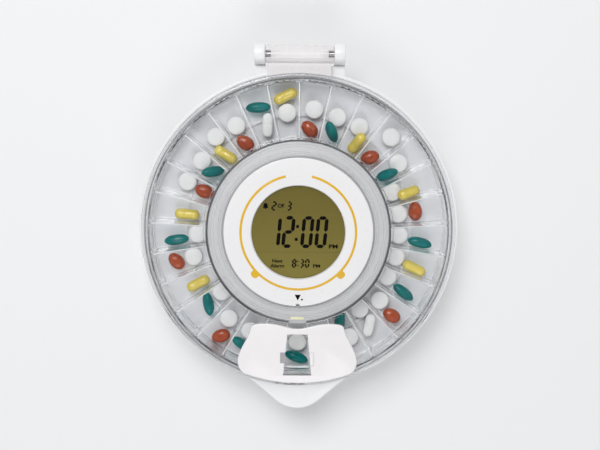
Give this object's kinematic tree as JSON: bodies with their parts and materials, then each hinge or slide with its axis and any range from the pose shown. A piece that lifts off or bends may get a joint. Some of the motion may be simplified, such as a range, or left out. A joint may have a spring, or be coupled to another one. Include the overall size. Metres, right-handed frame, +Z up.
{
  "type": "automatic pill dispenser",
  "caption": "Round automatic pill dispenser: turning clear tray of pockets round a clock hub, under a clear hinged lid with a dose window and a key lock.",
  "frame": {"origin": "on the table, under the middle of the whole object, which is also the tray's axis", "axes": "+Z up, +Y towards the hinge at the back, -Y towards the nose with the lock, +X to the right as seen from the front"},
  "size_m": [0.222, 0.2566, 0.0512],
  "materials": {
    "white_plastic": "satin",
    "clear_plastic": "polished",
    "black_plastic": "satin",
    "grey_plastic": "satin",
    "natural_acetal": "satin",
    "yellow_ink": "printed",
    "black_ink": "printed",
    "lcd_glass": "smooth",
    "lens": "polished",
    "board_laminate": "solder mask",
    "steel": "plain",
    "nickel_spring": "plated",
    "cell_jacket": "wrapped",
    "brass": "plated",
    "rubber": "matt",
    "tablet_white": "pressed powder",
    "teal_shell": "gelatine",
    "yellow_shell": "gelatine",
    "orange_shell": "gelatine"
  },
  "bodies": {
    "base": {"base_shell": "white_plastic", "nose_housing": "white_plastic", "hinge_bracket": "white_plastic", "hinge_pins": "steel", "bottom_cover": "white_plastic", "rubber_feet": "rubber", "cover_screws": "steel", "inner_deck": "white_plastic", "deck_screws": "steel", "hub_housing": "white_plastic", "dial_plate": "white_plastic", "dial_ring": "yellow_ink", "dose_pointer": "black_ink", "lcd_lens": "lens", "lcd_panel": "lcd_glass", "lcd_carrier": "black_plastic", "main_board": "board_laminate", "board_parts": "black_plastic", "buzzer": "black_plastic", "tilt_switch": "steel", "index_switch": "black_plastic", "motor_bracket": "grey_plastic", "gear_motor": "steel", "lock_barrel": "steel", "battery_box": "white_plastic", "battery_cells": "cell_jacket", "battery_contacts": "nickel_spring", "button_board": "board_laminate", "button_switches": "black_plastic"},
    "lid": {"lid_top": "clear_plastic", "lid_skirt": "clear_plastic", "lid_latch": "clear_plastic", "lid_hinge_arm": "clear_plastic", "window_plate": "white_plastic"},
    "tray": {"tray_floor": "clear_plastic", "tray_outer_wall": "clear_plastic", "tray_inner_wall": "clear_plastic", "tray_dividers": "clear_plastic", "tray_ring_gear": "clear_plastic", "dosage_ring": "clear_plastic", "pill_tablets": "tablet_white", "pill_caplets": "tablet_white", "pill_teal_capsules": "teal_shell", "pill_yellow_capsules": "yellow_shell", "pill_softgels": "orange_shell"},
    "drive": {"drive_gear": "natural_acetal", "drive_shaft": "steel"},
    "lock": {"lock_core": "brass", "lock_cam": "steel", "cam_screw": "steel"},
    "door": {"battery_door": "white_plastic"},
    "button_1": {"set_button_1": "grey_plastic"},
    "button_2": {"set_button_2": "grey_plastic"},
    "button_3": {"set_button_3": "grey_plastic"},
    "button_4": {"set_button_4": "grey_plastic"}
  },
  "joints": [
    {"name": "lid_hinge", "type": "hinge", "parent": "base", "child": "lid", "pos_m": [0, 0.1213, 0.0415], "axis": [-1, 0, 0], "range_deg": [0, 100]},
    {"name": "tray_turn", "type": "hinge", "parent": "base", "child": "tray", "pos_m": [0, 0, 0], "axis": [0, 0, 1], "continuous": true},
    {"name": "drive_turn", "type": "hinge", "parent": "base", "child": "drive", "pos_m": [0.019, 0.03291, 0], "axis": [0, 0, 1], "continuous": true},
    {"name": "lock_turn", "type": "hinge", "parent": "base", "child": "lock", "pos_m": [0, -0.115, 0.026], "axis": [0, -1, 0], "range_deg": [0, 90]},
    {"name": "battery_door_slide", "type": "slide", "parent": "base", "child": "door", "axis": [0, -1, 0], "range_m": [0, 0.008]},
    {"name": "button_1_press", "type": "slide", "parent": "base", "child": "button_1", "axis": [0, 0, 1], "range_m": [0, 0.0008], "stiffness_N_per_m": 400, "springref_m": -0.0005},
    {"name": "button_2_press", "type": "slide", "parent": "base", "child": "button_2", "axis": [0, 0, 1], "range_m": [0, 0.0008], "stiffness_N_per_m": 400, "springref_m": -0.0005},
    {"name": "button_3_press", "type": "slide", "parent": "base", "child": "button_3", "axis": [0, 0, 1], "range_m": [0, 0.0008], "stiffness_N_per_m": 400, "springref_m": -0.0005},
    {"name": "button_4_press", "type": "slide", "parent": "base", "child": "button_4", "axis": [0, 0, 1], "range_m": [0, 0.0008], "stiffness_N_per_m": 400, "springref_m": -0.0005}
  ],
  "couplings": [
    {"joint": "drive_turn", "follows": "tray_turn", "ratio": 2.9}
  ]
}
